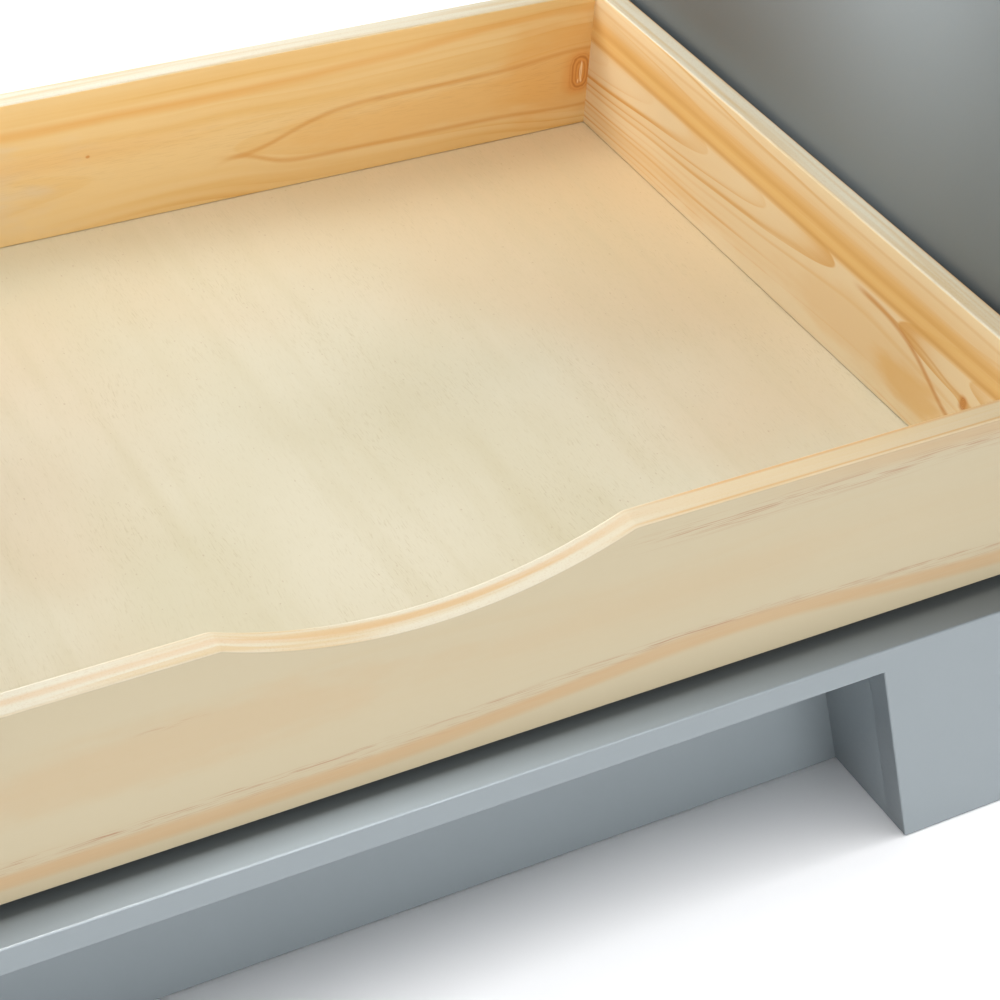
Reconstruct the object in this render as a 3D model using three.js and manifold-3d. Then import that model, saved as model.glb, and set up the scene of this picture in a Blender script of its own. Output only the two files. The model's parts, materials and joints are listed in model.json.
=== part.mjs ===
// Changing table: an open unit of painted boards on bracket feet, with a changing deck between four
// lips, a shelf under the deck, and a wide pine drawer that hangs on two hardwood runners.
// Millimetres. +X is the table's right as seen from the front, +Y is its back and +Z is up.
// The origin is on the floor, in the middle of the table's outline.
import * as THREE from "three";
import { mergeVertices } from "three/addons/utils/BufferGeometryUtils.js";
import Module from "manifold-3d";

const wasm = await Module();
wasm.setup();

// ---- driving dimensions ----------------------------------------------------------------------
const WIDTH = 760;
const DEPTH = 512;
const HEIGHT = 920;
const PANEL = 16; // painted board
const PINE = 14; // drawer board
const GAP = 0.3; // left between pieces that fit into each other
const ROUND = 12; // sides of a small round hole or pin

const INNER = WIDTH / 2 - PANEL; // half the space between the side panels
const FRONT = -DEPTH / 2;
const BACK = DEPTH / 2;

const BASE_TOP = 150; // top of the bottom shelf
const GAP_HEIGHT = BASE_TOP - PANEL; // height of the opening between the front feet
const FOOT = { floorX: 288.5, topX: 248 }; // inner edge of a front foot, from the middle
const PLINTH_RECESS = 66;
const APRON_TOP = 236; // the board behind the drawer
const SIDE_FOOT = { floorY: 163.5, height: 100, slope: (FOOT.floorX - FOOT.topX) / GAP_HEIGHT };
const SHELF_TOP = 608; // upper shelf
const SHELF_SETBACK = 4;
const SHELF_RAIL = 80;
const SHELF_SCREW_Y = 190; // the screws in a shelf's ends, from the middle
const DECK_TOP = 820;
const LIP_TOP = 900;
const TOP_CORNER = HEIGHT - LIP_TOP; // radius of the side panels' upper corners

const DRAWER = { width: 722, depth: 474, height: 107, setback: 19, lift: 5 };
const SCOOP = { width: 201, depth: 20.5, shoulder: 8 };
const PLY = { thickness: 5, underside: 10.5, inGroove: 5.7, groove: 6 };
const BATTEN = { width: 40, height: 10 };
const SLIDE = { height: 17, depth: 7, underside: 45 }; // groove in the drawer's sides
const RUNNER = { height: 16, depth: 9.5, length: 440, clearance: 0.5 };
const DOWEL = { radius: 3, length: 30, inFace: 9, heights: [26, 85] };

const CONFIRMAT = {
  head: 5,
  cone: 4,
  shank: 3.5,
  shankEnd: 15,
  core: 2.5,
  length: 50,
  tip: 3,
  socket: 2.3,
  socketDepth: 2.5,
};
const WOOD_SCREW = {
  head: 4,
  cone: 3,
  shank: 2,
  shankEnd: 9,
  core: 1.6,
  length: 18,
  tip: 3,
  socket: 1.5,
  socketDepth: 1.4,
};
const RUNNER_SCREW_YS = [-190, 0, 185];

// ---- materials -------------------------------------------------------------------------------
const paint = new THREE.MeshStandardMaterial({ color: 0x98a2a6, roughness: 0.38 });
const pine = new THREE.MeshStandardMaterial({ color: 0xe2c18f, roughness: 0.5 });
const plywood = new THREE.MeshStandardMaterial({ color: 0xe6d9b8, roughness: 0.62 });
const beech = new THREE.MeshStandardMaterial({ color: 0xd3ad80, roughness: 0.5 });
const zinc = new THREE.MeshStandardMaterial({ color: 0xb9bcc0, roughness: 0.35, metalness: 1 });

// ---- solids ----------------------------------------------------------------------------------
// The manifold-3d solid of a closed geometry.
function solidOf(geometry) {
  const bare = geometry.clone();
  bare.deleteAttribute("normal");
  bare.deleteAttribute("uv");
  const merged = mergeVertices(bare, 1e-4);
  const mesh = new wasm.Mesh({
    numProp: 3,
    vertProperties: merged.attributes.position.array,
    triVerts: new Uint32Array(merged.index.array),
  });
  return new wasm.Manifold(mesh);
}

// A solid's surface as a BufferGeometry.
function geometryOf(solid) {
  const mesh = solid.getMesh();
  const geometry = new THREE.BufferGeometry();
  geometry.setAttribute("position", new THREE.BufferAttribute(mesh.vertProperties, 3));
  geometry.setIndex(new THREE.BufferAttribute(mesh.triVerts, 1));
  return geometry;
}

// The geometry with every cutter taken away from it.
function cut(geometry, cutters) {
  if (cutters.length === 0) return geometry;
  let solid = solidOf(geometry);
  for (const cutter of cutters) solid = solid.subtract(solidOf(cutter));
  return geometryOf(solid);
}

// A box between two corners.
function box([x0, y0, z0], [x1, y1, z1]) {
  const geometry = new THREE.BoxGeometry(x1 - x0, y1 - y0, z1 - z0);
  return geometry.translate((x0 + x1) / 2, (y0 + y1) / 2, (z0 + z1) / 2);
}

// A shape drawn in the XZ plane, pushed back from y0 to y1.
function extrudeAlongY(shape, y0, y1) {
  const settings = { depth: y1 - y0, bevelEnabled: false, curveSegments: 12 };
  const geometry = new THREE.ExtrudeGeometry(shape, settings);
  return geometry.rotateX(Math.PI / 2).translate(0, y1, 0);
}

// A shape drawn in the YZ plane, pushed right from x0 to x1.
function extrudeAlongX(shape, x0, x1) {
  const settings = { depth: x1 - x0, bevelEnabled: false, curveSegments: 8 };
  const geometry = new THREE.ExtrudeGeometry(shape, settings);
  return geometry.rotateY(Math.PI / 2).rotateX(Math.PI / 2).translate(x0, 0, 0);
}

// A round bar along +X or +Y from its start point.
function bar(axis, start, length, radius) {
  const geometry = new THREE.CylinderGeometry(radius, radius, length, ROUND).translate(0, length / 2, 0);
  if (axis === "x") geometry.rotateZ(-Math.PI / 2);
  return geometry.translate(...start);
}

function polygon(points) {
  return new THREE.Shape(points.map(([u, v]) => new THREE.Vector2(u, v)));
}

// A named mesh. The geometry comes in at its place in the group, which the mesh's position takes over.
function piece(name, geometry, material) {
  geometry.computeBoundingBox();
  const centre = geometry.boundingBox.getCenter(new THREE.Vector3()).round();
  geometry.translate(-centre.x, -centre.y, -centre.z);
  const mesh = new THREE.Mesh(geometry, material);
  mesh.name = name;
  mesh.position.copy(centre);
  return mesh;
}

// ---- fasteners -------------------------------------------------------------------------------
// A countersunk screw with a hexagonal socket, its head at the origin and its tip along +Y. Below
// shankEnd it narrows to its core.
function screwGeometry({ head, cone, shank, shankEnd, core, length, tip, socket, socketDepth }) {
  const profile = [
    [0, 0],
    [head, 0],
    [head, cone * 0.25],
    [shank, cone],
    [shank, shankEnd],
    [core, shankEnd + 0.5],
    [core, length - tip],
    [0, length],
  ];
  const points = profile.map(([r, y]) => new THREE.Vector2(r, y));
  const hexagon = new THREE.CylinderGeometry(socket, socket, 2 * socketDepth, 6);
  return cut(new THREE.LatheGeometry(points, ROUND), [hexagon]);
}

// The screw driven along X: towards +X when way is 1 and towards -X when it is -1.
function screw(name, size, way, [x, y, z], material) {
  const geometry = screwGeometry(size).rotateZ((-way * Math.PI) / 2).translate(x, y, z);
  return piece(name, geometry, material);
}

// The clearance hole for a screw: its head, its shank and its thread.
function screwHole({ head, cone, shank, length }, way, [x, y, z]) {
  const start = (reach) => (way > 0 ? x : x - reach);
  return [
    bar("x", [start(cone + 1) - way * 0.5, y, z], cone + 1, head + GAP),
    bar("x", [start(length + 1), y, z], length + 1, shank + GAP),
  ];
}

// ---- the boards between the side panels --------------------------------------------------------
// A board lying flat, with the places of the two screws in each of its ends in the YZ plane.
function shelf(name, frontY, top) {
  const z = top - PANEL / 2;
  const screws = [
    [-SHELF_SCREW_Y, z],
    [SHELF_SCREW_Y, z],
  ];
  return { name, y: [frontY, BACK - PANEL], z: [top - PANEL, top], screws };
}

// A board standing on its edge along the front or the back, with one screw in each of its ends.
function rail(name, frontY, bottom, top) {
  const screws = [[frontY + PANEL / 2, (bottom + top) / 2]];
  return { name, y: [frontY, frontY + PANEL], z: [bottom, top], screws };
}

const BOARDS = [
  shelf("bottom_shelf", FRONT + PANEL, BASE_TOP),
  shelf("upper_shelf", FRONT + SHELF_SETBACK, SHELF_TOP),
  shelf("changing_deck", FRONT + PANEL, DECK_TOP),
  rail("rear_apron", BACK - PANEL, 0, APRON_TOP),
  rail("shelf_back_rail", BACK - PANEL, SHELF_TOP - PANEL, SHELF_TOP - PANEL + SHELF_RAIL),
  rail("front_lip", FRONT, DECK_TOP - PANEL, LIP_TOP),
  rail("back_lip", BACK - PANEL, DECK_TOP - PANEL, LIP_TOP),
];
const SIDES = [
  ["left", -1],
  ["right", 1],
];

// The thread of a confirmat in the end of a board.
function threadHole(side, y, z) {
  const reach = CONFIRMAT.length - PANEL + GAP;
  const x = side > 0 ? INNER - reach : -INNER;
  return bar("x", [x, y, z], reach, CONFIRMAT.core + GAP);
}

function crossBoard({ name, y, z, screws }) {
  const holes = SIDES.flatMap(([, side]) => screws.map(([sy, sz]) => threadHole(side, sy, sz)));
  return piece(name, cut(box([-INNER, y[0], z[0]], [INNER, y[1], z[1]]), holes), paint);
}

function confirmats() {
  return BOARDS.flatMap(({ name, screws }) =>
    SIDES.flatMap(([sideName, side]) =>
      screws.map(([y, z], i) => {
        const number = screws.length > 1 ? "_" + (i + 1) : "";
        const place = [side * (WIDTH / 2), y, z];
        return screw(name + "_screw_" + sideName + number, CONFIRMAT, -side, place, zinc);
      }),
    ),
  );
}

// ---- side panels -------------------------------------------------------------------------------
// The panel's outline in the YZ plane: two feet with slanted inner edges and two rounded upper corners.
function sideOutline() {
  const { floorY, height, slope } = SIDE_FOOT;
  const archY = floorY - slope * height;
  const shape = new THREE.Shape();
  shape.moveTo(FRONT, 0);
  shape.lineTo(-floorY, 0);
  shape.lineTo(-archY, height);
  shape.lineTo(archY, height);
  shape.lineTo(floorY, 0);
  shape.lineTo(BACK, 0);
  shape.lineTo(BACK, LIP_TOP);
  shape.absarc(BACK - TOP_CORNER, LIP_TOP, TOP_CORNER, 0, Math.PI / 2);
  shape.absarc(FRONT + TOP_CORNER, LIP_TOP, TOP_CORNER, Math.PI / 2, Math.PI);
  shape.lineTo(FRONT, 0);
  return shape;
}

function sidePanel([name, side]) {
  const outer = side * (WIDTH / 2);
  const inner = side * INNER;
  const board = extrudeAlongX(sideOutline(), Math.min(inner, outer), Math.max(inner, outer));
  const confirmatHoles = BOARDS.flatMap(({ screws }) =>
    screws.flatMap(([y, z]) => screwHole(CONFIRMAT, -side, [outer, y, z])),
  );
  const pilotReach = WOOD_SCREW.length - RUNNER.depth + GAP;
  const pilotHoles = RUNNER_SCREW_YS.map((y) =>
    bar("x", [side > 0 ? inner : inner - pilotReach, y, RUNNER_Z], pilotReach, WOOD_SCREW.shank + GAP),
  );
  return piece("side_panel_" + name, cut(board, [...confirmatHoles, ...pilotHoles]), paint);
}

// ---- base --------------------------------------------------------------------------------------
// The front board: two bracket feet joined by a thin rail under the drawer.
function frontPlinth() {
  const outline = polygon([
    [-INNER, 0],
    [-FOOT.floorX, 0],
    [-FOOT.topX, GAP_HEIGHT],
    [FOOT.topX, GAP_HEIGHT],
    [FOOT.floorX, 0],
    [INNER, 0],
    [INNER, BASE_TOP],
    [-INNER, BASE_TOP],
  ]);
  return piece("front_plinth", extrudeAlongY(outline, FRONT, FRONT + PANEL), paint);
}

// The slanted board that carries a foot's inner edge back to the recessed plinth.
function footReturn([name, side]) {
  const lean = FOOT.floorX - FOOT.topX;
  const across = (PANEL * Math.hypot(lean, GAP_HEIGHT)) / GAP_HEIGHT;
  const outline = [
    [FOOT.floorX, 0],
    [FOOT.floorX + across, 0],
    [FOOT.topX + across, GAP_HEIGHT - GAP],
    [FOOT.topX, GAP_HEIGHT - GAP],
  ].map(([x, z]) => [side * x, z]);
  const shape = polygon(side > 0 ? outline : outline.reverse());
  return piece("foot_return_" + name, extrudeAlongY(shape, FRONT + PANEL, FRONT + PLINTH_RECESS), paint);
}

function recessedPlinth() {
  const y = FRONT + PLINTH_RECESS;
  return piece("recessed_plinth", box([-INNER, y, 0], [INNER, y + PANEL, GAP_HEIGHT]), paint);
}

// ---- runners -----------------------------------------------------------------------------------
const DRAWER_Z = BASE_TOP + DRAWER.lift;
const DRAWER_Y = FRONT + DRAWER.setback;
const RUNNER_TOP = DRAWER_Z + SLIDE.underside + SLIDE.height - GAP;
const RUNNER_Z = RUNNER_TOP - RUNNER.height / 2;

function runner([name, side]) {
  const face = side * (INNER - RUNNER.depth);
  const y = DRAWER_Y + PINE + RUNNER.clearance;
  const low = [Math.min(face, side * INNER), y, RUNNER_TOP - RUNNER.height];
  const high = [Math.max(face, side * INNER), y + RUNNER.length, RUNNER_TOP];
  const holes = RUNNER_SCREW_YS.flatMap((sy) => screwHole(WOOD_SCREW, side, [face, sy, RUNNER_Z]));
  return piece("runner_" + name, cut(box(low, high), holes), beech);
}

function runnerScrews([name, side]) {
  const face = side * (INNER - RUNNER.depth);
  return RUNNER_SCREW_YS.map((y, i) =>
    screw("runner_screw_" + name + "_" + (i + 1), WOOD_SCREW, side, [face, y, RUNNER_Z], zinc),
  );
}

// ---- drawer, in its own group: the origin is under the middle of the front board's face --------
const HALF = DRAWER.width / 2;
const SIDE_FACE = HALF - PINE; // inner face of a drawer side

// The front board's outline in the XZ plane. The scoop is one arc, with a rounded shoulder at each end.
function drawerFrontOutline() {
  const { width, depth, shoulder } = SCOOP;
  const radius = (width * width) / (8 * depth) + depth / 2;
  const arcZ = DRAWER.height - depth + radius;
  const shoulderZ = DRAWER.height - shoulder;
  const shoulderX = Math.sqrt((radius + shoulder) ** 2 - (arcZ - shoulderZ) ** 2);
  const lean = Math.atan2(shoulderX, arcZ - shoulderZ);
  const shape = new THREE.Shape();
  shape.moveTo(-HALF, 0);
  shape.lineTo(HALF, 0);
  shape.lineTo(HALF, DRAWER.height);
  shape.absarc(shoulderX, shoulderZ, shoulder, Math.PI / 2, Math.PI / 2 + lean);
  shape.absarc(0, arcZ, radius, -Math.PI / 2 + lean, -Math.PI / 2 - lean, true);
  shape.absarc(-shoulderX, shoulderZ, shoulder, Math.PI / 2 - lean, Math.PI / 2);
  shape.lineTo(-HALF, DRAWER.height);
  shape.lineTo(-HALF, 0);
  return shape;
}

const GROOVE_Z = [PLY.underside - GAP, PLY.underside + PLY.thickness + GAP];

function dowelPlaces() {
  const sideEnd = PINE - DOWEL.inFace;
  return SIDES.flatMap(([name, side]) =>
    DOWEL.heights.flatMap((z, i) => {
      const level = i === 0 ? "lower" : "upper";
      const frontDowel = { end: "front", axis: "y", start: [side * (HALF - PINE / 2), sideEnd, z] };
      const backX = side > 0 ? HALF - sideEnd - DOWEL.length : -(HALF - sideEnd);
      const backDowel = { end: "back", axis: "x", start: [backX, DRAWER.depth - PINE / 2, z] };
      return [frontDowel, backDowel].map((dowel) => ({ ...dowel, name, level }));
    }),
  );
}

const DOWELS = dowelPlaces();

function dowelHoles(end) {
  return DOWELS.filter((dowel) => dowel.end === end).map(({ axis, start }) => {
    const along = axis === "x" ? [GAP, 0, 0] : [0, GAP, 0];
    const from = start.map((value, i) => value - along[i]);
    return bar(axis, from, DOWEL.length + 2 * GAP, DOWEL.radius + GAP);
  });
}

function dowels() {
  return DOWELS.map(({ end, name, level, axis, start }) =>
    piece(["drawer_dowel", end, name, level].join("_"), bar(axis, start, DOWEL.length, DOWEL.radius), beech),
  );
}

function drawerFront() {
  const reach = SIDE_FACE + PLY.groove;
  const groove = box([-reach, PINE - PLY.groove, GROOVE_Z[0]], [reach, PINE + 1, GROOVE_Z[1]]);
  const board = extrudeAlongY(drawerFrontOutline(), 0, PINE);
  return piece("drawer_front", cut(board, [groove, ...dowelHoles("front")]), pine);
}

function drawerBack() {
  const face = DRAWER.depth - PINE;
  const board = box([-SIDE_FACE, face, 0], [SIDE_FACE, DRAWER.depth, DRAWER.height]);
  const groove = box([-HALF, face - 1, GROOVE_Z[0]], [HALF, face + PLY.groove, GROOVE_Z[1]]);
  return piece("drawer_back", cut(board, [groove, ...dowelHoles("back")]), pine);
}

function drawerSide([name, side]) {
  const between = (a, b) => [Math.min(side * a, side * b), Math.max(side * a, side * b)];
  const [x0, x1] = between(SIDE_FACE, HALF);
  const [p0, p1] = between(SIDE_FACE - 1, SIDE_FACE + PLY.groove);
  const [s0, s1] = between(HALF - SLIDE.depth, HALF + 1);
  const grooveEnd = DRAWER.depth - PINE + PLY.groove;
  const slideTop = SLIDE.underside + SLIDE.height;
  const board = box([x0, PINE, 0], [x1, DRAWER.depth, DRAWER.height]);
  const plyGroove = box([p0, PINE - 1, GROOVE_Z[0]], [p1, grooveEnd, GROOVE_Z[1]]);
  const slideGroove = box([s0, PINE - 1, SLIDE.underside], [s1, DRAWER.depth + 1, slideTop]);
  const holes = [plyGroove, slideGroove, ...dowelHoles("front"), ...dowelHoles("back")];
  return piece("drawer_side_" + name, cut(board, holes), pine);
}

function drawerBottom() {
  const halfWidth = SIDE_FACE + PLY.inGroove;
  const low = [-halfWidth, PINE - PLY.inGroove, PLY.underside];
  const high = [halfWidth, DRAWER.depth - PINE + PLY.inGroove, PLY.underside + PLY.thickness];
  return piece("drawer_bottom", box(low, high), plywood);
}

function drawerBatten() {
  const low = [-BATTEN.width / 2, PINE + GAP, PLY.underside - GAP - BATTEN.height];
  const high = [BATTEN.width / 2, DRAWER.depth - PINE - GAP, PLY.underside - GAP];
  return piece("drawer_batten", box(low, high), pine);
}

// ---- assembly ------------------------------------------------------------------------------------
const carcass = new THREE.Group();
carcass.add(...SIDES.map(sidePanel), ...BOARDS.map(crossBoard), ...confirmats());
carcass.add(frontPlinth(), recessedPlinth(), ...SIDES.map(footReturn));
carcass.add(...SIDES.map(runner), ...SIDES.flatMap(runnerScrews));

const drawer = new THREE.Group();
drawer.add(drawerFront(), drawerBack(), ...SIDES.map(drawerSide));
drawer.add(drawerBottom(), drawerBatten(), ...dowels());
drawer.position.set(0, DRAWER_Y, DRAWER_Z);

const table = new THREE.Group();
table.add(carcass, drawer);

export default table;
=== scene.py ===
"""Looks of the changing table: eased boards, their woods and paint, a plain floor, soft light and a camera.

Lengths in the shapes are metres, in the CAD model's frame. Lengths inside the materials are millimetres.
"""
import json
import math

import bmesh
import bpy
from mathutils import Matrix, Vector

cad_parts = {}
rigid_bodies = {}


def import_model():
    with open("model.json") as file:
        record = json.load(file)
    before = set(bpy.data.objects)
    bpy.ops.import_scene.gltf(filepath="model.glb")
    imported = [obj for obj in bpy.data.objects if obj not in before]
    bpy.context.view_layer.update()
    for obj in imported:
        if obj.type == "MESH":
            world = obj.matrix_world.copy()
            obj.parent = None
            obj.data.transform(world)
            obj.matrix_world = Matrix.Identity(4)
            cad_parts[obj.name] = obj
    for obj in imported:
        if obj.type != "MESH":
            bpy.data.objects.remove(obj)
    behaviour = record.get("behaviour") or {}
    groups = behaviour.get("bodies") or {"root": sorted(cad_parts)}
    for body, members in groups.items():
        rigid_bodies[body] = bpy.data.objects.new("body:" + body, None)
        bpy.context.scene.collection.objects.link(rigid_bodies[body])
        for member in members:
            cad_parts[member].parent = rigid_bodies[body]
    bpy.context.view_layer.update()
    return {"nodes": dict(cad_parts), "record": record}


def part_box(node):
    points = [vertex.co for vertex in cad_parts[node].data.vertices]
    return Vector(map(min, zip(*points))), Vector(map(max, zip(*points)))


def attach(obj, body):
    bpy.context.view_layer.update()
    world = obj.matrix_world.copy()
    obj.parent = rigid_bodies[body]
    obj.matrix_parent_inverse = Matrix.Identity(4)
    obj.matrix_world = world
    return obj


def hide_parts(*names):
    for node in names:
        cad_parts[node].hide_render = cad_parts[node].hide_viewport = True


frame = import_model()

MM = 0.001
TAU = 2 * math.pi

# ---- driving values ------------------------------------------------------------------------------
PAINT_EASE = 1.0 * MM  # radius along the edges of the painted boards
PINE_EASE = 1.2 * MM
BEECH_EASE = 0.8 * MM
PLY_EASE = 0.3 * MM
SCREW_EASE = 0.25 * MM
EASE_STEPS = 4
ARC_STEPS = 64
EASED_ANGLE = math.radians(25)  # edges that turn more than this are eased
CREASE_ANGLE = math.radians(35)  # and after that, edges that turn more than this are shaded sharp
SAME_PLACE = 0.01 * MM  # a point this near a plane counts as in it
CLEARANCE = 0.15 * MM  # room round the drawer's bottom and round each screw's head
HEAD_HOLE_DEPTH = 5 * MM
SCREW_SIDES, HOLE_SIDES, DOWEL_SIDES = 40, 48, 32
SLIDE_GROOVE = 7.0 * MM
SLIDE_Z = (45.0 * MM, 62.0 * MM)  # groove for the runner, above the drawer's lower edge
SCOOP_WIDTH, SCOOP_DEPTH, SCOOP_SHOULDER = 201 * MM, 20.5 * MM, 8 * MM
SHOULDER_STEPS = 8
FOOT_FLOOR_X, FOOT_TOP_X = 288.5 * MM, 248 * MM
ARCH_HEIGHT = 100 * MM
ARCH_FLOOR_Y = 163.5 * MM
CORNER = 20 * MM  # radius of the side panels' upper corners
CORNER_STEPS = 16

CAMERA_AT = Vector((-0.4017, -0.9390, 0.9488))
CAMERA_HEADING, CAMERA_DOWN, CAMERA_ROLL = 31.445, 38.216, 4.79  # degrees
CAMERA_LENS = 88.78
SHELF_LIGHTS = (("left", -0.12, -0.06, 1.15), ("right", 0.24, -0.12, 0.65), ("back", 0.2, 0.12, 0.25))


# ---- shapes --------------------------------------------------------------------------------------
def arc(centre, radius, start, end, steps=ARC_STEPS):
    """Points along an arc, its angles in radians."""
    angles = [start + (end - start) * i / steps for i in range(steps + 1)]
    return [(centre[0] + radius * math.cos(a), centre[1] + radius * math.sin(a)) for a in angles]


def circle(centre, radius, corners):
    """The corners of a regular polygon, which stands for a circle where there are many of them."""
    return arc(centre, radius, 0, TAU * (corners - 1) / corners, corners - 1)


def placed(point, axis, along):
    """A point of an outline, put into space: the outline lies across the axis, at a place along it."""
    a, b = point
    return {"x": (along, a, b), "y": (a, along, b), "z": (a, b, along)}[axis]


def prism(outline, axis, start, end):
    """A closed outline pushed along an axis, as a bmesh."""
    shape = bmesh.new()
    vertices = [shape.verts.new(placed(point, axis, start)) for point in outline]
    face = shape.faces.new(vertices)
    pushed = bmesh.ops.extrude_face_region(shape, geom=[face])["geom"]
    offset = Vector(placed((0, 0), axis, end - start))
    bmesh.ops.translate(shape, vec=offset, verts=[v for v in pushed if isinstance(v, bmesh.types.BMVert)])
    bmesh.ops.recalc_face_normals(shape, faces=shape.faces)
    return shape


def rectangle(low, high, axis):
    """The outline of a box across an axis."""
    (a0, b0), (a1, b1) = [[c for c, name in zip(painted_wall_bounce, "xyz") if name != axis] for painted_wall_bounce in (low, high)]
    return [(a0, b0), (a1, b0), (a1, b1), (a0, b1)]


def block(low, high):
    return prism(rectangle(low, high, "x"), "x", low[0], high[0])


def object_of(name, shape):
    """A new object in the scene that holds a bmesh."""
    mesh = bpy.data.meshes.new(name)
    shape.to_mesh(mesh)
    shape.free()
    made = bpy.data.objects.new(name, mesh)
    bpy.context.scene.collection.objects.link(made)
    return made


def apply_modifiers(piece):
    """Keeps what the modifiers make as the piece's own mesh."""
    graph = bpy.context.evaluated_depsgraph_get()
    mesh = bpy.data.meshes.new_from_object(piece.evaluated_get(graph))
    old = piece.data
    piece.modifiers.clear()
    piece.data = mesh
    bpy.data.meshes.remove(old)
    mesh.name = piece.name


def cut(piece, cutters):
    """Takes cutter shapes out of a piece."""
    for shape in cutters:
        cutter = object_of("cutter", shape)
        step = piece.modifiers.new("cut", "BOOLEAN")
        step.operation = "DIFFERENCE"
        step.solver = "EXACT"
        step.object = cutter
        apply_modifiers(piece)
        bpy.data.objects.remove(cutter)


def ease(piece, radius, square_planes=()):
    """Rounds the piece's edges, except those that lie in one of the planes (axis number, place)."""
    shape = bmesh.new()
    shape.from_mesh(piece.data)
    weight = shape.edges.layers.float.new("bevel_weight_edge")
    for edge in shape.edges:
        sharp = len(edge.link_faces) == 2 and edge.calc_face_angle() > EASED_ANGLE
        for axis, place in square_planes:
            if all(abs(v.co[axis] - place) < SAME_PLACE for v in edge.verts):
                sharp = False
        edge[weight] = 1.0 if sharp else 0.0
    shape.to_mesh(piece.data)
    shape.free()
    step = piece.modifiers.new("ease", "BEVEL")
    step.limit_method = "WEIGHT"
    step.width = radius
    step.segments = EASE_STEPS
    apply_modifiers(piece)


def smooth(piece):
    """Smooth shading that leaves the broad faces flat and square edges crisp."""
    for polygon in piece.data.polygons:
        polygon.use_smooth = True
    piece.data.set_sharp_from_angle(angle=CREASE_ANGLE)
    step = piece.modifiers.new("normals", "WEIGHTED_NORMAL")
    step.keep_sharp = True
    apply_modifiers(piece)


def body_of_node(node):
    bodies = frame["record"]["behaviour"]["bodies"]
    return next(body for body, nodes in bodies.items() if node in nodes)


def stand_for(piece, node, material):
    """Gives a piece its material and its CAD node's body, and hides that node."""
    piece.data.materials.clear()
    piece.data.materials.append(material)
    smooth(piece)
    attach(piece, body_of_node(node))
    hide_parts(node)


def board(node, material, radius, outline=None, axis="x", grooves=(), square_planes=(), holes=()):
    """A piece for a CAD node's board: its box, or an outline pushed through the box along an axis."""
    low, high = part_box(node)
    number = "xyz".index(axis)
    shape = prism(outline or rectangle(low, high, axis), axis, low[number], high[number])
    piece = object_of("shown_" + node, shape)
    cut(piece, grooves)
    ease(piece, radius, square_planes)
    cut(piece, holes)
    stand_for(piece, node, material)


# ---- material expressions ------------------------------------------------------------------------
class Field:
    """A number that varies over a surface. Arithmetic on it adds Math nodes to the material."""

    def __init__(self, tree, socket):
        self.tree = tree
        self.socket = socket

    def math(self, operation, *others):
        node = self.tree.nodes.new("ShaderNodeMath")
        node.operation = operation
        for socket, value in zip(node.inputs, (self, *others)):
            feed(self.tree, socket, value)
        return Field(self.tree, node.outputs[0])

    def __add__(self, other):
        return self.math("ADD", other)

    def __sub__(self, other):
        return self.math("SUBTRACT", other)

    def __mul__(self, other):
        return self.math("MULTIPLY", other)

    def __truediv__(self, other):
        return self.math("DIVIDE", other)

    def __neg__(self):
        return self * -1.0

    __radd__ = __add__

    def size(self):
        return self.math("ABSOLUTE")

    def root(self):
        return self.math("SQRT")

    def sine(self):
        return self.math("SINE")

    def rise(self, low, high):
        """0 below low and 1 above high, with a smooth step between them."""
        node = self.tree.nodes.new("ShaderNodeMapRange")
        node.interpolation_type = "SMOOTHSTEP"
        feed(self.tree, node.inputs["Value"], self)
        node.inputs["From Min"].default_value = low
        node.inputs["From Max"].default_value = high
        return Field(self.tree, node.outputs["Result"])

    def bell(self, centre, width):
        """1 at the centre, falling smoothly to 0 at about twice the width from it."""
        offset = (self - centre) / width
        return (-(offset * offset)).math("EXPONENT")


def feed(tree, socket, value):
    """Links a field or a colour to a socket, or sets a plain value on it."""
    if isinstance(value, Field):
        tree.links.new(value.socket, socket)
    else:
        socket.default_value = value


def surface_place(tree):
    """Where the surface is in the CAD frame, as three fields in millimetres."""
    place = tree.nodes.new("ShaderNodeTexCoord").outputs["Object"]
    split = tree.nodes.new("ShaderNodeSeparateXYZ")
    tree.links.new(place, split.inputs[0])
    return [Field(tree, output) / MM for output in split.outputs]


def noise(fields, sizes, seed=0.0, detail=2.0, roughness=0.5):
    """Noise from 0 to 1, with features of about these sizes in millimetres along each field."""
    tree = fields[0].tree
    join = tree.nodes.new("ShaderNodeCombineXYZ")
    for i, (socket, field, size) in enumerate(zip(join.inputs, fields, sizes)):
        feed(tree, socket, field / size + seed * (1.7 + i))
    node = tree.nodes.new("ShaderNodeTexNoise")
    tree.links.new(join.outputs[0], node.inputs["Vector"])
    node.inputs["Scale"].default_value = 1.0
    node.inputs["Detail"].default_value = detail
    node.inputs["Roughness"].default_value = roughness
    return Field(tree, node.outputs[0])


def mix(factor, first, second):
    """The first colour where the factor is 0, the second where it is 1."""
    tree = factor.tree
    node = tree.nodes.new("ShaderNodeMix")
    node.data_type = "RGBA"
    feed(tree, node.inputs["Factor"], factor)
    for socket, colour in zip((node.inputs[6], node.inputs[7]), (first, second)):
        feed(tree, socket, colour if isinstance(colour, Field) else (*colour, 1.0))
    return Field(tree, node.outputs[2])


def srgb(red, green, blue):
    """A colour given as 0 to 255 screen values, in the linear values that shaders use."""
    parts = [c / 255 for c in (red, green, blue)]
    return tuple(c / 12.92 if c <= 0.04045 else ((c + 0.055) / 1.055) ** 2.4 for c in parts)


def material(name):
    """A new material, its node tree and its Principled shader."""
    made = bpy.data.materials.new(name)
    made.use_nodes = True
    return made, made.node_tree, made.node_tree.nodes["Principled BSDF"]


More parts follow.
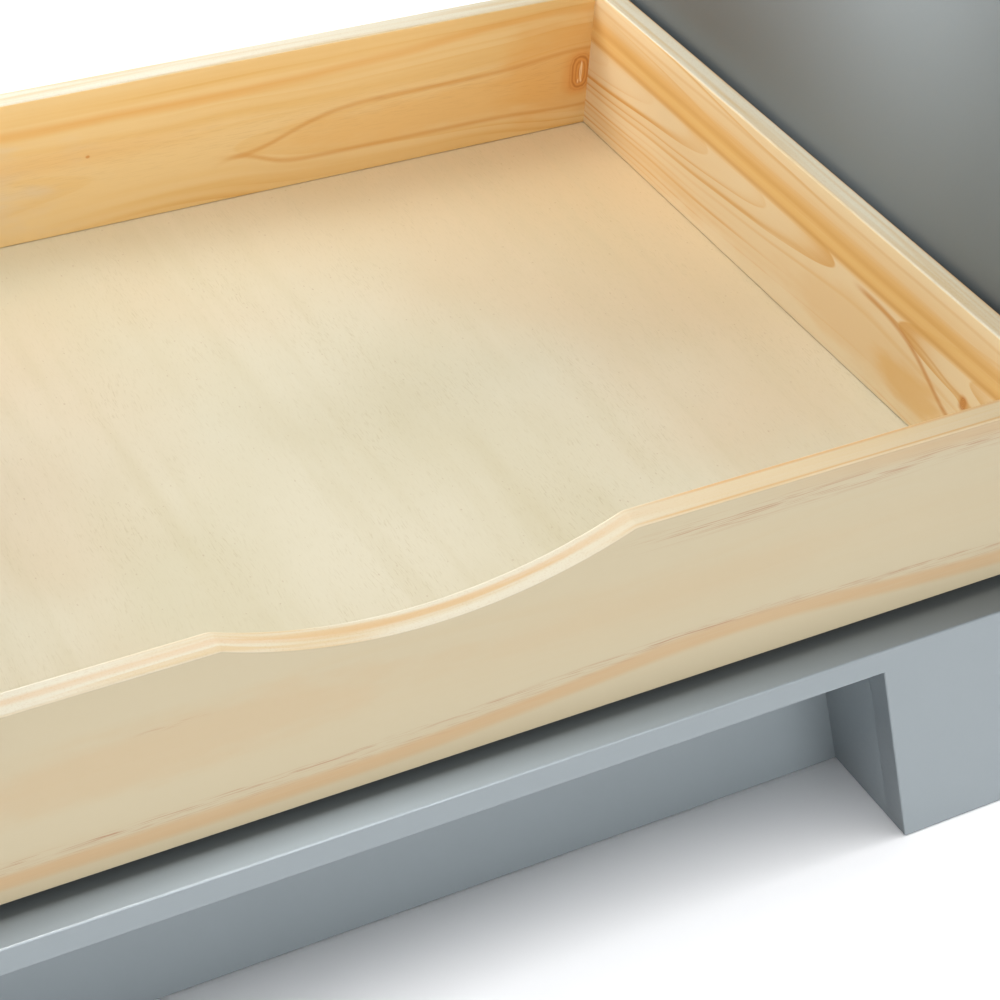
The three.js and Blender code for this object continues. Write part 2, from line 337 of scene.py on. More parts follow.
def bump(tree, shader, height, strength_mm):
    """Raises the surface by a field that runs from 0 to 1."""
    node = tree.nodes.new("ShaderNodeBump")
    node.inputs["Strength"].default_value = 1.0
    node.inputs["Distance"].default_value = strength_mm * MM
    feed(tree, node.inputs["Height"], height)
    tree.links.new(node.outputs[0], shader.inputs["Normal"])


# ---- paint ---------------------------------------------------------------------------------------
PAINT = srgb(108, 116, 120)
PAINT_WORN = srgb(112, 120, 124)
PAINT_DUST = srgb(108, 112, 114)


def grey_paint():
    made, tree, shader = material("grey_paint")
    place = surface_place(tree)
    cloud = noise(place, (170, 170, 170), detail=2)
    spray = noise(place, (2.6, 2.6, 2.6), seed=3, detail=3, roughness=0.6)
    dust = noise(place, (0.9, 0.9, 0.9), seed=8, detail=1).rise(0.78, 0.84)
    shade = mix((cloud - 0.5) * 0.8 + 0.5, PAINT, PAINT_WORN)
    feed(tree, shader.inputs["Base Color"], mix(dust * 0.25, shade, PAINT_DUST))
    feed(tree, shader.inputs["Roughness"], 0.27 + spray * 0.08 + cloud * 0.05)
    bump(tree, shader, spray * 0.5 + dust * 0.5, 0.03)
    shader.inputs["IOR"].default_value = 1.55
    return made


# ---- pine ----------------------------------------------------------------------------------------
PINE_ROUGHNESS = 0.46
TURN_ROUNDING = 30.0  # millimetres over which the rings turn back


class Grain:
    """Board coordinates in millimetres: along the grain, across it up the board's face, and through it."""

    def __init__(self, tree, low, along):
        x, y, z = surface_place(tree)
        if along == "x":
            self.along, self.through = x, y - low[1] / MM
        else:
            self.along, self.through = y, x - low[0] / MM
        self.across = z - low[2] / MM

    def fields(self):
        return (self.along, self.across, self.through)


def rings(grain, figure, seed):
    """Distance from the tree's middle, whose depth behind the face falls away on both sides of the turn."""
    sway = (noise(grain.fields(), (130, 60, 60), seed, detail=1) - 0.5) * figure["sway"]
    up = grain.across - figure["middle"] + sway
    away = grain.along - figure["turn"]
    slide = (away * away + TURN_ROUNDING ** 2).root() * figure["lean"]
    deep = grain.through * 0.8 + figure["depth"] - slide
    return (up * up + deep * deep).root()


def facing_up(tree):
    """1 on surfaces that face up or down, 0 on upright ones."""
    normal = tree.nodes.new("ShaderNodeNewGeometry").outputs["Normal"]
    split = tree.nodes.new("ShaderNodeSeparateXYZ")
    tree.links.new(normal, split.inputs[0])
    return Field(tree, split.outputs["Z"]).size().rise(0.35, 0.75)


def band_place(grain, seed, at, wave, hump=None, through=False):
    """Signed distance from a long band's middle, which waves a little and may rise over a hump."""
    bend = (noise(grain.fields(), (120, 60, 60), seed, detail=2) - 0.5) * wave
    place = (grain.through if through else grain.across) - at + bend
    if hump:
        centre, width, height = hump
        place = place - grain.along.bell(centre, width) * height
    return place


def within(grain, start, end, fade=40):
    """1 between two places along the board, fading out beyond them."""
    return grain.along.rise(start - fade, start + fade) * (-grain.along).rise(-end - fade, -end + fade)


def add_band(colour, grain, seed, tint, at, half, strength, soft=0.6, wave=3.0, hump=None, span=None,
             through=False):
    """A long band of other wood across the face, or through the board where it shows on an edge."""
    place = band_place(grain, seed, at, wave, hump, through).size()
    ragged = noise(grain.fields(), (90, 1.1, 1.1), seed + 2, detail=2)
    inside = -(place + (ragged - 0.5) * half * 0.7).rise(half * (1 - soft), half * (1 + soft)) + 1.0
    inside = inside * (ragged * 0.7 + 0.65) * strength
    if span:
        inside = inside * within(grain, *span)
    return mix(inside.math("MINIMUM", 1.0), colour, tint)


def add_dashes(colour, grain, seed, tint, at, half, strength, length=14, wave=3.0, hump=None, span=None):
    """Fine resin dashes that lie in one row along the grain."""
    place = band_place(grain, seed, at, wave, hump)
    marks = noise(grain.fields(), (length, 0.45, 0.45), seed + 4, detail=1).rise(0.54, 0.66)
    marks = marks * place.bell(0.0, half) * strength
    if span:
        marks = marks * within(grain, *span)
    return mix(marks, colour, tint)


def add_patch(colour, grain, seed, tint, centre, size, strength):
    """A soft cloud of other wood at one place on the face."""
    along, across = centre
    away = (grain.along - along) / size[0]
    off = (grain.across - across) / size[1]
    ragged = (noise(grain.fields(), (26, 9, 9), seed, detail=2) - 0.5) * 0.9
    radius = (away * away + off * off).root() + ragged
    return mix((-radius.rise(0.45, 1.1) + 1.0) * strength, colour, tint)


def add_knot(colour, grain, seed, centre, size):
    """A tight round knot: a warm halo, thin rings, a dark rim and a pale resin fleck."""
    along, across = centre
    away = (grain.along - along) / size
    off = (grain.across - across) / (size * 0.85)
    wobble = (noise(grain.fields(), (5, 5, 5), seed) - 0.5) * 0.45
    radius = (away * away + off * off).root() + wobble
    halo = -radius.rise(0.6, 2.6) + 1.0
    ring = (radius * 17.0).sine() * 0.5 + 0.5
    eye = -radius.rise(0.7, 1.5) + 1.0
    rim = radius.bell(0.95, 0.14)
    fleck = noise(grain.fields(), (1.6, 4.0, 4.0), seed + 3, detail=1).rise(0.55, 0.66)
    colour = mix(halo * 0.75, colour, srgb(206, 138, 58))
    colour = mix(eye * ring * 0.55, colour, srgb(172, 98, 38))
    colour = mix(rim * ring * 0.4, colour, srgb(150, 84, 34))
    return mix((-radius.rise(0.35, 0.6) + 1.0) * fleck * 0.8, colour, srgb(236, 206, 160))


EDGE_CREAM, EDGE_WARM = srgb(215, 206, 183), srgb(209, 187, 148)


def edge_colour(grain, seed, lines):
    """The narrow upper and lower edges: pale wood with fine pores, and any band that crosses the board."""
    tone = noise(grain.fields(), (160, 30, 4), seed + 40, detail=2)
    pores = noise(grain.fields(), (1.1, 0.8, 0.8), seed + 41, detail=2, roughness=0.7).rise(0.50, 0.72)
    colour = mix(tone.rise(0.42, 0.72), EDGE_CREAM, EDGE_WARM)
    colour = mix(pores * 0.22, colour, srgb(186, 150, 100))
    for i, line in enumerate(lines):
        colour = add_band(colour, grain, seed + 50 + 7 * i, through=True, **line)
    return colour


def pine(name, low, along, tones, figure, seed, layers=(), lines=()):
    """Pine with growth rings that curve with the board's figure, then its own bands, dashes and knots."""
    made, tree, shader = material(name)
    grain = Grain(tree, low, along)
    pale, warm, deep = tones
    knots = [layer for kind, layer in layers if kind is add_knot]
    for knot in knots:
        away, off = grain.along - knot["centre"][0], grain.across - knot["centre"][1]
        reach = knot["size"] ** 2 * 14.0
        near = (-(away * away * 0.4 + off * off * 2.0) / reach).math("EXPONENT")
        grain.across = grain.across - off * near * 0.8
    spacing = figure["spacing"]
    radius = rings(grain, figure, seed)
    ringed = (radius, grain.along, grain.across)
    broad = noise(ringed, (spacing * 2.6, 700, 300), seed + 5, detail=2, roughness=0.55)
    drift = noise(grain.fields(), (150, 40, 40), seed + 9) * 0.5
    year = (radius / spacing + drift).math("FRACT")
    late = year.rise(0.30, 0.95) - year.rise(0.95, 1.0)
    weight = noise(ringed, (spacing * 1.7, 500, 200), seed + 6).rise(0.38, 0.66)
    fibre = noise(grain.fields(), (46, 0.5, 0.5), seed + 2, detail=2, roughness=0.6)
    streak = noise(grain.fields(), (300, 4.5, 4.5), seed + 3, detail=3, roughness=0.55)
    cloud = noise(grain.fields(), (170, 46, 46), seed + 8, detail=1)
    amount = broad.rise(0.42, 0.60) * figure["broad"] + late * weight * figure["line"]
    amount = amount + (streak - 0.5) * figure["streak"] + (fibre - 0.5) * 0.14 + (cloud - 0.5) * 0.35
    colour = mix(amount.rise(0.0, 0.9), pale, warm)
    colour = mix((amount - 0.5).rise(0.0, 0.7), colour, deep)
    for i, (layer, values) in enumerate(layers):
        colour = layer(colour, grain, seed + 20 + 5 * i, **values)
    colour = mix(facing_up(tree), colour, edge_colour(grain, seed, lines))
    feed(tree, shader.inputs["Base Color"], colour)
    feed(tree, shader.inputs["Roughness"], PINE_ROUGHNESS + fibre * 0.12)
    bump(tree, shader, fibre * 0.7 + late * 0.3, 0.03)
    shader.inputs["Specular IOR Level"].default_value = 0.38
    return made


# ---- plywood, beech and steel --------------------------------------------------------------------
def plywood():
    made, tree, shader = material("plywood")
    x, y, z = surface_place(tree)
    place = (x, y, z)
    cloud = noise(place, (130, 190, 60), seed=2, detail=3, roughness=0.5)
    blush = noise(place, (210, 240, 60), seed=6, detail=2)
    band = noise(place, (16, 240, 20), seed=11, detail=3, roughness=0.6)
    curl = (noise(place, (40, 60, 40), seed=12, detail=1) - 0.5) * 9.0
    fleck = noise((x + curl, y, z), (0.7, 6.5, 5), seed=13, detail=2, roughness=0.65)
    patch = noise(place, (34, 60, 30), seed=14, detail=2).rise(0.45, 0.72)
    speck = noise(place, (1.6, 2.4, 2), seed=17, detail=0).rise(0.80, 0.86)
    colour = mix(cloud.rise(0.30, 0.70), srgb(221, 213, 189), srgb(212, 203, 174))
    colour = mix(blush.rise(0.46, 0.74) * 0.5, colour, srgb(221, 197, 166))
    # Painted bounce light from the pine walls: warmer towards the bottom's back right corner.
    painted_wall_bounce = (x / 300.0 + y / 200.0).rise(0.5, 1.9)
    colour = mix(painted_wall_bounce * 0.8, colour, srgb(216, 189, 146))
    colour = mix((band - 0.45).rise(0.0, 0.35) * 0.22, colour, srgb(200, 187, 149))
    colour = mix(fleck.rise(0.52, 0.74) * (0.14 + patch * 0.22), colour, srgb(179, 161, 119))
    colour = mix(speck * 0.28, colour, srgb(159, 117, 76))
    feed(tree, shader.inputs["Base Color"], colour)
    feed(tree, shader.inputs["Roughness"], 0.58 + fleck * 0.15)
    bump(tree, shader, fleck, 0.03)
    shader.inputs["Specular IOR Level"].default_value = 0.3
    return made


def beech():
    made, tree, shader = material("beech")
    place = surface_place(tree)
    fleck = noise(place, (1.2, 9, 1.2), seed=3, detail=2)
    tone = noise(place, (20, 300, 20), seed=5, detail=2)
    colour = mix(tone, srgb(222, 186, 140), srgb(200, 158, 112))
    feed(tree, shader.inputs["Base Color"], mix(fleck.rise(0.5, 0.75) * 0.5, colour, srgb(168, 120, 80)))
    feed(tree, shader.inputs["Roughness"], 0.5 + fleck * 0.12)
    bump(tree, shader, fleck, 0.03)
    return made


def zinc():
    made, tree, shader = material("zinc_steel")
    place = surface_place(tree)
    cloud = noise(place, (5, 5, 5), seed=4, detail=3)
    feed(tree, shader.inputs["Base Color"], mix(cloud, srgb(196, 200, 204), srgb(168, 170, 172)))
    feed(tree, shader.inputs["Roughness"], 0.24 + cloud * 0.2)
    shader.inputs["Metallic"].default_value = 1.0
    return made


# ---- the painted carcass -------------------------------------------------------------------------
INNER_X = -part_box("side_panel_left")[1][0]
SIDES = (("left", -1), ("right", 1))


def side_outline(low, high):
    """Two feet with slanted inner edges below, and two rounded corners above."""
    front, back, top = low[1], high[1], high[2]
    slope = (FOOT_FLOOR_X - FOOT_TOP_X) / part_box("bottom_shelf")[0][2]
    arch_y = ARCH_FLOOR_Y - slope * ARCH_HEIGHT
    arch = [(-ARCH_FLOOR_Y, 0), (-arch_y, ARCH_HEIGHT), (arch_y, ARCH_HEIGHT), (ARCH_FLOOR_Y, 0)]
    corner_z = top - CORNER
    back_corner = arc((back - CORNER, corner_z), CORNER, 0, TAU / 4, CORNER_STEPS)
    front_corner = arc((front + CORNER, corner_z), CORNER, TAU / 4, TAU / 2, CORNER_STEPS)
    return [(front, 0), *arch, (back, 0), *back_corner, *front_corner]


def screw_hole(node):
    """A countersunk hole that a screw's head lies in."""
    low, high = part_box(node)
    centre, radius = (low + high) / 2, (high[1] - low[1]) / 2
    way = 1 if centre[0] > 0 else -1
    head = high[0] if way > 0 else low[0]
    outline = circle((centre[1], centre[2]), radius + CLEARANCE, HOLE_SIDES)
    ends = sorted((head + way * MM, head - way * HEAD_HOLE_DEPTH))
    return prism(outline, "x", *ends)


def side_panel(name, paint):
    node = "side_panel_" + name
    low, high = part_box(node)
    screws = [n for n in frame["nodes"] if n.endswith("_screw_" + name) or "_screw_" + name + "_" in n]
    holes = [screw_hole(n) for n in sorted(screws) if not n.startswith("runner")]
    board(node, paint, PAINT_EASE, side_outline(low, high), "x", holes=holes)


def plinth_outline(low, high):
    shelf_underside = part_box("bottom_shelf")[0][2]
    left = [(low[0], low[2]), (-FOOT_FLOOR_X, low[2]), (-FOOT_TOP_X, shelf_underside)]
    right = [(-x, z) for x, z in reversed(left)]
    return [*left, *right, (high[0], high[2]), (low[0], high[2])]


def foot_return(name, side, paint):
    """The slanted board behind a foot's inner edge."""
    node = "foot_return_" + name
    low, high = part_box(node)
    across = (high[0] - low[0]) - (FOOT_FLOOR_X - FOOT_TOP_X) * high[2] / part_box("bottom_shelf")[0][2]
    floor_edge = [(FOOT_FLOOR_X, 0), (FOOT_FLOOR_X + across, 0)]
    outline = [*floor_edge, (FOOT_TOP_X + across, high[2]), (FOOT_TOP_X, high[2])]
    ends = [(1, low[1]), (1, high[1]), (2, high[2])]
    board(node, paint, PAINT_EASE, [(side * x, z) for x, z in outline], "y", square_planes=ends)


def carcass(paint):
    ends = [(0, -INNER_X), (0, INNER_X)]
    seam = (1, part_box("front_plinth")[1][1])
    for name, side in SIDES:
        side_panel(name, paint)
        foot_return(name, side, paint)
    low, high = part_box("front_plinth")
    board("front_plinth", paint, PAINT_EASE, plinth_outline(low, high), "y", square_planes=[*ends, seam])
    for node in ("bottom_shelf", "changing_deck"):
        board(node, paint, PAINT_EASE, square_planes=[*ends, seam, (1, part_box(node)[1][1])])
    plain = ("upper_shelf", "rear_apron", "shelf_back_rail", "front_lip", "back_lip", "recessed_plinth")
    for node in plain:
        board(node, paint, PAINT_EASE, square_planes=ends)


# ---- fasteners and runners -----------------------------------------------------------------------
def screw_shape(head, cone, shank, length, socket, socket_depth):
    """A countersunk screw with a hexagonal socket, its head at the origin and its tip along +X.

    The head, the shank and the socket are given by their radius.
    """
    rim, point = cone * 0.2, length - 4 * MM
    profile = [(0, head), (rim, head), (cone, shank), (point, shank * 0.75), (length, shank * 0.2)]
    shape = bmesh.new()
    rows = []
    for x, radius in profile:
        rows.append([shape.verts.new((x, a, b)) for a, b in circle((0, 0), radius, SCREW_SIDES)])
    for first, second in zip(rows, rows[1:]):
        for i in range(SCREW_SIDES):
            j = (i + 1) % SCREW_SIDES
            shape.faces.new((first[i], first[j], second[j], second[i]))
    shape.faces.new(rows[0])
    shape.faces.new(rows[-1])
    bmesh.ops.recalc_face_normals(shape, faces=shape.faces)
    piece = object_of("screw", shape)
    cut(piece, [prism(circle((0, 0), socket, 6), "x", -MM, socket_depth)])
    mesh = piece.data
    bpy.data.objects.remove(piece)
    return mesh


def screws(metal):
    shapes = {
        "board": screw_shape(head=5 * MM, cone=4 * MM, shank=3.2 * MM, length=50 * MM,
                             socket=2.3 * MM, socket_depth=2.5 * MM),
        "runner": screw_shape(head=4 * MM, cone=3 * MM, shank=1.9 * MM, length=18 * MM,
                              socket=1.5 * MM, socket_depth=1.4 * MM),
    }
    for node in sorted(frame["nodes"]):
        if "screw" not in node:
            continue
        low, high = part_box(node)
        is_runner = node.startswith("runner")
        outward = (1 if low[0] > 0 else -1) * (-1 if is_runner else 1)
        head = high[0] if outward > 0 else low[0]
        mesh = shapes["runner" if is_runner else "board"].copy()
        turn = Matrix.Rotation(TAU / 2, 4, "Z") if outward > 0 else Matrix.Identity(4)
        mesh.transform(Matrix.Translation((head, (low[1] + high[1]) / 2, (low[2] + high[2]) / 2)) @ turn)
        piece = bpy.data.objects.new("shown_" + node, mesh)
        bpy.context.scene.collection.objects.link(piece)
        ease(piece, SCREW_EASE)
        stand_for(piece, node, metal)


def dowels(wood):
    """The drawer's dowels, with rounded ends."""
    for node in sorted(n for n in frame["nodes"] if "dowel" in n):
        low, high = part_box(node)
        size = high - low
        axis = "xyz"[max(range(3), key=lambda i: size[i])]
        centre = [c for c, name in zip((low + high) / 2, "xyz") if name != axis]
        board(node, wood, BEECH_EASE, circle(centre, min(size) / 2, DOWEL_SIDES), axis)


# ---- the drawer ----------------------------------------------------------------------------------
def front_outline(low, high):
    """The drawer's front, with a scoop of one arc and a small rounded shoulder at each end of it."""
    radius = SCOOP_WIDTH ** 2 / (8 * SCOOP_DEPTH) + SCOOP_DEPTH / 2
    arc_z = high[2] - SCOOP_DEPTH + radius
    shoulder_z = high[2] - SCOOP_SHOULDER
    shoulder_x = math.sqrt((radius + SCOOP_SHOULDER) ** 2 - (arc_z - shoulder_z) ** 2)
    lean = math.atan2(shoulder_x, arc_z - shoulder_z)
    quarter = TAU / 4
    right = arc((shoulder_x, shoulder_z), SCOOP_SHOULDER, quarter, quarter + lean, SHOULDER_STEPS)
    middle = arc((0, arc_z), radius, -quarter + lean, -quarter - lean)
    left = arc((-shoulder_x, shoulder_z), SCOOP_SHOULDER, quarter - lean, quarter, SHOULDER_STEPS)
    corners = [(low[0], low[2]), (high[0], low[2]), (high[0], high[2])]
    return [*corners, *right, *middle[1:-1], *left, (low[0], high[2])]


def ply_groove():
    """The space that the drawer's bottom fills, with a little room round it."""
    low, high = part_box("drawer_bottom")
    room = Vector((CLEARANCE, CLEARANCE, CLEARANCE))
    return block(low - room, high + room)


def slide_groove(side):
    low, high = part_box("drawer_side_right")
    outer, inner = sorted((side * (high[0] + MM), side * (high[0] - SLIDE_GROOVE)))
    bottom = low[2]
    start = (outer, low[1] - MM, bottom + SLIDE_Z[0])
    return block(start, (inner, high[1] + MM, bottom + SLIDE_Z[1]))


CREAM, HONEY, AMBER = srgb(233, 209, 168), srgb(226, 189, 134), srgb(214, 160, 88)
BEIGE, SAND, TAN = srgb(169, 157, 130), srgb(169, 152, 121), srgb(167, 145, 110)
GOLD, ORANGE, RUST = srgb(217, 184, 128), srgb(211, 167, 97), srgb(196, 141, 67)
BROWN = srgb(150, 96, 56)


def front_wood():
    """Quiet, nearly straight wood with one wavy pink band low down and dashes above it."""
    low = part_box("drawer_front")[0]
    figure = dict(middle=190, turn=0, depth=60, lean=0.0, spacing=19, sway=26,
                  broad=0.28, line=0.14, streak=0.30)
    pink, blush = srgb(170, 141, 103), srgb(170, 148, 115)
    dash = srgb(140, 92, 60)
    low_hump, row_hump = (165, 110, 13), (150, 150, 8)
    layers = [
        (add_patch, dict(tint=blush, centre=(-120, 62), size=(130, 20), strength=0.5)),
        (add_patch, dict(tint=blush, centre=(120, 60), size=(150, 13), strength=0.22)),
        (add_patch, dict(tint=blush, centre=(-330, 40), size=(110, 20), strength=0.6)),
        (add_band, dict(tint=pink, at=12, half=3.9, strength=0.78, soft=0.6, wave=4, hump=low_hump)),
        (add_band, dict(tint=pink, at=15.5, half=1.6, strength=0.45, soft=0.9, wave=4, hump=low_hump)),
        (add_band, dict(tint=pink, at=104, half=5, strength=0.55, soft=0.9, wave=3, span=(200, 420, 60))),
        (add_dashes, dict(tint=dash, at=22, half=1.5, strength=0.75, length=22, wave=2.5, hump=row_hump)),
        (add_dashes, dict(tint=dash, at=18, half=2.5, strength=0.35, length=16, wave=4, hump=low_hump)),
        (add_dashes, dict(tint=dash, at=96, half=4.5, strength=0.6, length=26, wave=6,
                          span=(110, 420, 30))),
        (add_dashes, dict(tint=dash, at=74, half=1.0, strength=0.7, length=14, wave=1,
                          span=(-135, -112, 10))),
    ]
    orange = srgb(208, 164, 108)
    lines = [
        dict(tint=orange, at=7.4, half=1.8, strength=0.42, wave=2.0, span=(-420, -40, 60)),
        dict(tint=orange, at=8.6, half=2.0, strength=0.5, wave=2.0, span=(-60, 110, 40)),
        dict(tint=srgb(212, 186, 142), at=8.0, half=9.0, strength=0.75, wave=2.0, span=(110, 420, 60)),
        dict(tint=orange, at=13.2, half=1.5, strength=0.85, wave=1.0, span=(120, 420, 30)),
        dict(tint=orange, at=1.6, half=0.5, strength=0.75, wave=0.8, span=(110, 420, 30)),
    ]
    return pine("pine_front", low, "x", (BEIGE, SAND, TAN), figure, 4.0, layers, lines)


def back_wood():
    """Golden wood whose rings open round a knot at the right end."""
    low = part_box("drawer_back")[0]
    figure = dict(middle=47, turn=60, depth=34, lean=0.055, spacing=4.6, sway=12,
                  broad=0.42, line=0.42, streak=0.30)
    rust, tongue = srgb(208, 150, 72), srgb(198, 140, 66)
    layers = [
        (add_patch, dict(tint=srgb(203, 181, 147), centre=(-200, 50), size=(210, 60), strength=0.8)),
        (add_band, dict(tint=rust, at=86, half=2.6, strength=0.55, soft=0.9, wave=7, hump=(330, 130, 12))),
        (add_band, dict(tint=rust, at=66, half=7.0, strength=0.28, soft=0.9, wave=14, span=(-420, 60, 60))),
        (add_patch, dict(tint=rust, centre=(330, 60), size=(60, 40), strength=0.5)),
        (add_patch, dict(tint=srgb(214, 162, 86), centre=(240, 48), size=(130, 17), strength=0.45)),
        (add_band, dict(tint=tongue, at=64, half=1.5, strength=0.6, soft=0.9, wave=2, hump=(108, 45, -20),
                        span=(104, 420, 14))),
        (add_band, dict(tint=tongue, at=33, half=1.5, strength=0.6, soft=0.9, wave=2, hump=(108, 22, 11),
                        span=(104, 420, 14))),
        (add_dashes, dict(tint=BROWN, at=58, half=16, strength=0.12, length=12, wave=10)),
        (add_knot, dict(centre=(341, 53), size=6.5)),
        (add_patch, dict(tint=srgb(190, 120, 44), centre=(16, 64), size=(1.6, 1.2), strength=0.8)),
    ]
    return pine("pine_back", low, "x", (GOLD, ORANGE, RUST), figure, 2.0, layers)


def right_wood():
    """Cream wood with a straight orange stripe, and rings that close in tongues below it."""
    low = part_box("drawer_side_right")[0]
    figure = dict(middle=69, turn=-74, depth=40, lean=0.055, spacing=3.2, sway=5,
                  broad=0.30, line=0.95, streak=0.16)
    amber, line = srgb(224, 176, 104), srgb(210, 156, 84)
    layers = [
        (add_patch, dict(tint=HONEY, centre=(135, 24), size=(90, 14), strength=0.4)),
        (add_patch, dict(tint=srgb(236, 218, 184), centre=(-5, 14), size=(150, 20), strength=0.8)),
        (add_patch, dict(tint=HONEY, centre=(-70, 44), size=(80, 22), strength=0.4)),
        (add_patch, dict(tint=srgb(224, 176, 102), centre=(-124, 38), size=(40, 15), strength=0.65)),
        (add_band, dict(tint=amber, at=82.5, half=9.0, strength=0.92, soft=0.3, wave=2.4)),
        (add_band, dict(tint=HONEY, at=94, half=6.0, strength=0.5, soft=0.9, wave=3)),
        (add_band, dict(tint=line, at=75, half=1.3, strength=0.6, soft=0.9, wave=2.4)),
        (add_band, dict(tint=srgb(232, 196, 128), at=80, half=2.2, strength=0.5, soft=0.9, wave=3)),
        (add_band, dict(tint=line, at=85, half=1.6, strength=0.35, soft=0.9, wave=4)),
        (add_band, dict(tint=line, at=99, half=1.0, strength=0.3, soft=0.9, wave=3)),
        (add_band, dict(tint=srgb(204, 142, 72), at=69, half=1.7, strength=0.8, soft=0.9, wave=2,
                        hump=(-168, 42, -30), span=(-175, -70, 10))),
        (add_band, dict(tint=line, at=68, half=0.8, strength=0.6, soft=0.9, wave=2,
                        hump=(-175, 40, -12), span=(-185, -84, 10))),
        (add_knot, dict(centre=(-166, 56), size=2.0)),
    ]
    lines = [dict(tint=srgb(206, 158, 98), at=13.2, half=0.6, strength=0.8, wave=0.6)]
    return pine("pine_side_right", low, "y", (CREAM, HONEY, AMBER), figure, 3.0, layers, lines)


def left_wood():
    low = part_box("drawer_side_left")[0]
    figure = dict(middle=38, turn=20, depth=42, lean=0.06, spacing=4.2, sway=9,
                  broad=0.45, line=0.5, streak=0.26)
    layers = [
        (add_band, dict(tint=HONEY, at=84, half=7, strength=0.7, soft=0.6, wave=6)),
        (add_dashes, dict(tint=BROWN, at=60, half=24, strength=0.25, length=9, wave=8)),
        (add_knot, dict(centre=(120, 72), size=5.0)),
    ]
    return pine("pine_side_left", low, "y", (CREAM, HONEY, AMBER), figure, 7.0, layers)


def batten_wood():
    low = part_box("drawer_batten")[0]
    figure = dict(middle=-60, turn=0, depth=20, lean=0.02, spacing=6, sway=12,
                  broad=0.4, line=0.4, streak=0.3)
    return pine("pine_batten", low, "y", (CREAM, HONEY, AMBER), figure, 9.0)


def drawer():
    front_low, front_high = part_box("drawer_front")
    back_low, back_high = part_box("drawer_back")
    sides_end = [(1, front_high[1])]
    back_ends = [(0, back_low[0]), (0, back_high[0])]
    outline = front_outline(front_low, front_high)
    board("drawer_front", front_wood(), PINE_EASE, outline, "y", grooves=[ply_groove()])
    board("drawer_back", back_wood(), PINE_EASE, grooves=[ply_groove()], square_planes=back_ends)
    for (name, side), wood in zip(SIDES, (left_wood(), right_wood())):
        grooves = [ply_groove(), slide_groove(side)]
        board("drawer_side_" + name, wood, PINE_EASE, grooves=grooves, square_planes=sides_end)
    board("drawer_bottom", plywood(), PLY_EASE)
    board("drawer_batten", batten_wood(), PINE_EASE)


# ---- floor, light and camera ---------------------------------------------------------------------
def floor():
    """A plain pale board just under the feet, large enough for the view from every side."""
    made, _, shader = material("floor")
    shader.inputs["Base Color"].default_value = (0.93, 0.93, 0.94, 1)
    shader.inputs["Roughness"].default_value = 0.6
    shader.inputs["Specular IOR Level"].default_value = 0.2
    low, high = (-1.8, -1.3, -0.02), (1.8, 1.8, -0.0002)
    plane = object_of("floor", prism(rectangle(low, high, "z"), "z", low[2], high[2]))
    plane.data.materials.append(made)


def softbox(name, at, towards, size, watts, only=None, without=None, spread=180):
    """An area light that isn't seen itself. It lights everything, only one object, or all but one.

    Places and sizes are in metres, and spread is how wide its beam is, in degrees.
    """
    light = bpy.data.lights.new(name, "AREA")
    light.shape = "RECTANGLE"
    light.size, light.size_y = size
    light.energy = watts
    light.spread = math.radians(spread)
    lamp = bpy.data.objects.new(name, light)
    lamp.location = at
    lamp.rotation_euler = (Vector(towards) - Vector(at)).to_track_quat("-Z", "Y").to_euler()
    lamp.visible_camera = False
    bpy.context.scene.collection.objects.link(lamp)
    if only or without:
        chosen = bpy.data.collections.new("chosen_for_" + name)
        chosen.objects.link(bpy.data.objects[only or without])
        lamp.light_linking.receiver_collection = chosen
        if without:
            chosen.collection_objects[0].light_linking.link_state = "EXCLUDE"


def room():
    """A dim room whose walls look white."""
    world = bpy.data.worlds.new("room")
    bpy.context.scene.world = world
    world.use_nodes = True
    nodes, links = world.node_tree.nodes, world.node_tree.links
    dim, white = nodes["Background"], nodes.new("ShaderNodeBackground")
    dim.inputs["Color"].default_value = (1, 1, 1, 1)
    dim.inputs["Strength"].default_value = 0.06
    white.inputs["Color"].default_value = (1, 1, 1, 1)
    seen, choose = nodes.new("ShaderNodeLightPath"), nodes.new("ShaderNodeMixShader")
    links.new(seen.outputs["Is Camera Ray"], choose.inputs[0])
    links.new(dim.outputs[0], choose.inputs[1])
    links.new(white.outputs[0], choose.inputs[2])
    links.new(choose.outputs[0], nodes["World Output"].inputs[0])


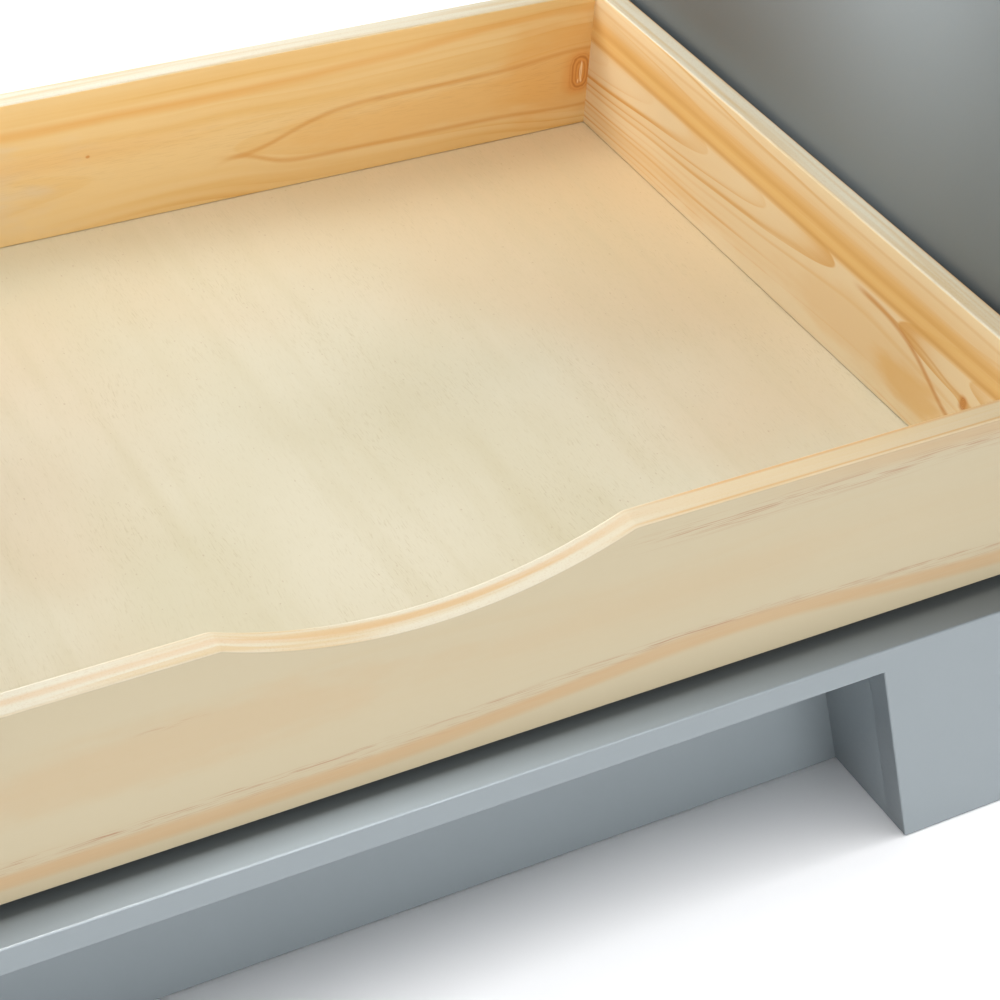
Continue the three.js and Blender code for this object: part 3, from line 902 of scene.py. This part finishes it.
def studio():
    """Soft light from all round, small lights under the upper shelf, and some that light one object only."""
    middle = (0, 0, 0.2)
    plinth, panel = "shown_front_plinth", "shown_side_panel_right"
    softbox("left_low", (-3.0, 0, 0.7), middle, (1.5, 1.2), 96, without=plinth)
    softbox("left_back", (-1.6, 1.2, 2.4), middle, (1.5, 1.5), 52)
    softbox("back", (0, 3.0, 0.8), (0, 0, 0.25), (2.4, 1.2), 110, without=panel)
    softbox("right", (2.6, 0, 1.6), middle, (1.5, 1.5), 40, without=plinth)
    softbox("front", (0.3, -2.4, 0.65), (0, -0.1, 0.25), (1.5, 1.0), 39, without="floor")
    softbox("front_bounce", (0, -1.6, 0.08), (0, -0.2, 0.1), (2.4, 0.14), 8)
    softbox("glint", (0.58, -2.17, 0.99), (-0.1, -0.25, 0.16), (0.2, 0.2), 15, only=plinth)
    under_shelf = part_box("upper_shelf")[0][2] - 7 * MM
    for name, x, y, watts in SHELF_LIGHTS:
        at, below = (x, y, under_shelf), (x, y, 0)
        softbox("shelf_light_" + name, at, below, (0.22, 0.2), watts, without=panel)
    # The front lip and the upper shelf keep this light off the back of the front plinth's narrow top.
    edge_x, edge_y = -0.06, -0.2635
    above, below = (edge_x, edge_y, 1.2), (edge_x, edge_y, 0)
    softbox("along_front_edge", above, below, (0.1, 0.012), 1.4, only=plinth, spread=46)
    softbox("right_panel", (0.08, -0.03, 0.5), (0.36, -0.03, 0.41), (0.1, 0.1), 0.27, only=panel, spread=72)
    softbox("front_floor", (0, -0.5, 0.95), (0, -0.5, 0), (2.4, 0.5), 14, only="floor")
    bpy.context.scene.view_settings.view_transform = "Standard"


def camera():
    data = bpy.data.cameras.new("camera")
    data.lens = CAMERA_LENS
    data.sensor_width = 36
    data.clip_start, data.clip_end = 0.01, 50
    made = bpy.data.objects.new("camera", data)
    heading = Matrix.Rotation(math.radians(-CAMERA_HEADING), 4, "Z")
    down = Matrix.Rotation(math.radians(90 - CAMERA_DOWN), 4, "X")
    roll = Matrix.Rotation(math.radians(CAMERA_ROLL), 4, "Z")
    made.matrix_world = Matrix.Translation(CAMERA_AT) @ heading @ down @ roll
    bpy.context.scene.collection.objects.link(made)
    bpy.context.scene.camera = made


camera()
carcass(grey_paint())
steel, runner_wood = zinc(), beech()
screws(steel)
for side_name, _ in SIDES:
    board("runner_" + side_name, runner_wood, BEECH_EASE)
dowels(runner_wood)
drawer()
floor()
room()
studio()
